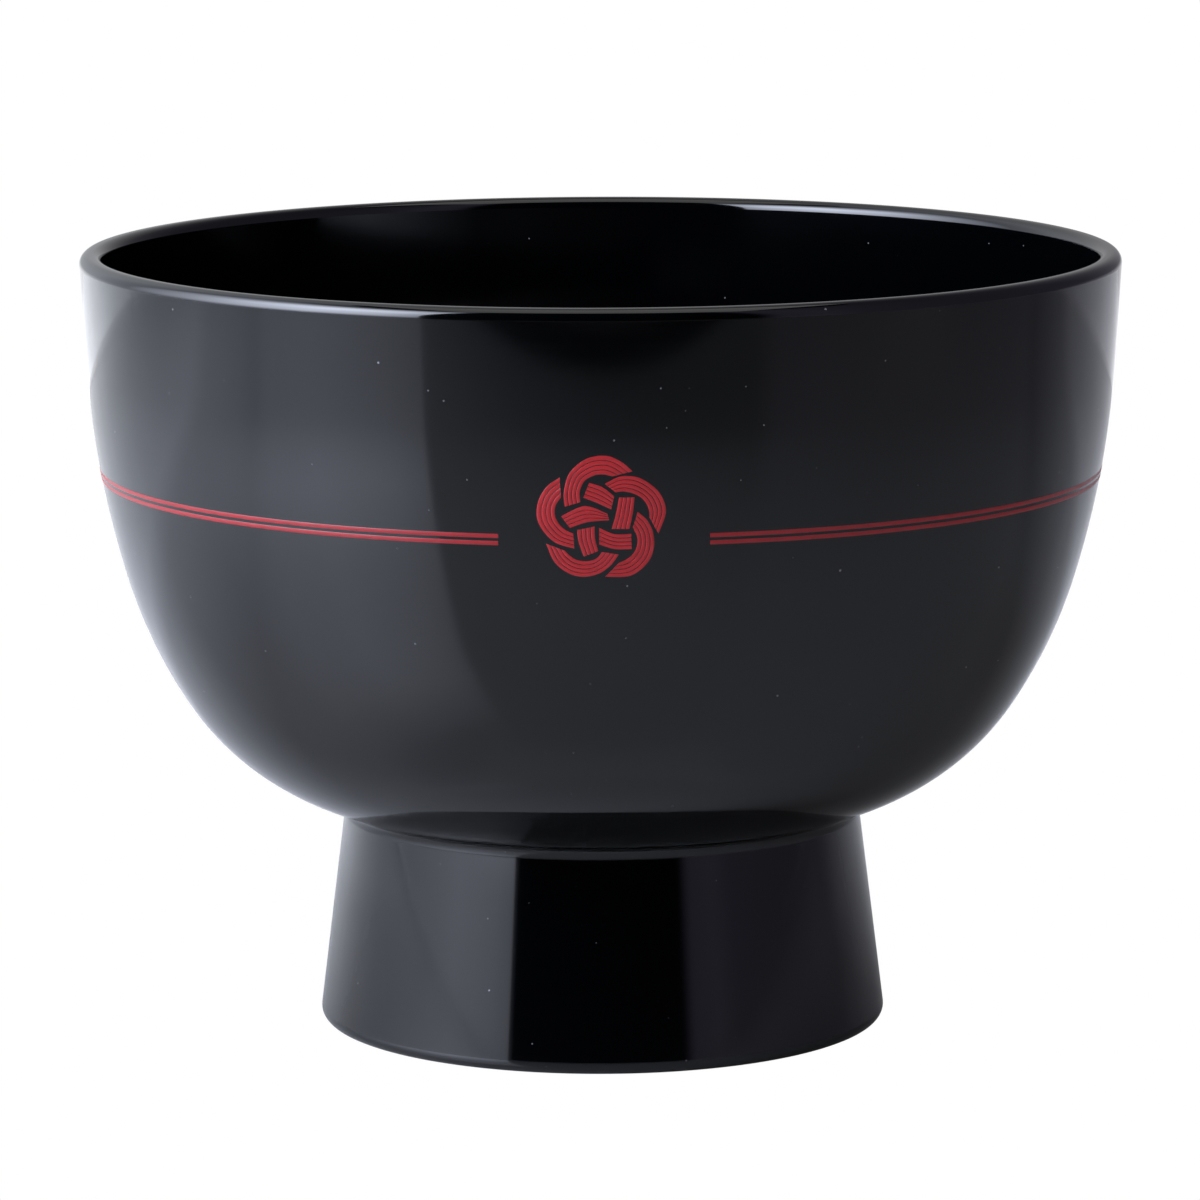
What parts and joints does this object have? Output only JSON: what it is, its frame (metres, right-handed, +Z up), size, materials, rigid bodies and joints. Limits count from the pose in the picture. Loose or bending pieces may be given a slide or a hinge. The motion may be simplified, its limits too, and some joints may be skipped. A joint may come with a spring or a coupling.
{
  "type": "soup bowl",
  "caption": "Deep round soup bowl in black gloss lacquer on a tall flared foot, with thin red lines round the wall and a red petal knot at the front.",
  "frame": {"origin": "on the table, under the centre of the foot's resting ring", "axes": "+Z up along the bowl's axis; -Y towards the printed knot at the front; +X to the right seen from the front"},
  "size_m": [0.1098, 0.1098, 0.0825],
  "materials": {
    "black_lacquer": "polished black urethane lacquer over moulded resin",
    "red_print": "screen-printed red lacquer, satin gloss",
    "adhesive": "cured amber adhesive, hidden in the joint"
  },
  "bodies": {
    "root": {"bowl_body": "black_lacquer", "foot_stand": "black_lacquer", "bond_ring": "adhesive", "red_line_upper": "red_print", "red_line_lower": "red_print", "knot_petal_1": "red_print", "knot_petal_2": "red_print", "knot_petal_3": "red_print", "knot_petal_4": "red_print", "knot_petal_5": "red_print", "knot_strand_1": "red_print", "knot_strand_2": "red_print", "knot_strand_3": "red_print", "knot_strand_4": "red_print", "knot_strand_5": "red_print"}
  },
  "joints": []
}
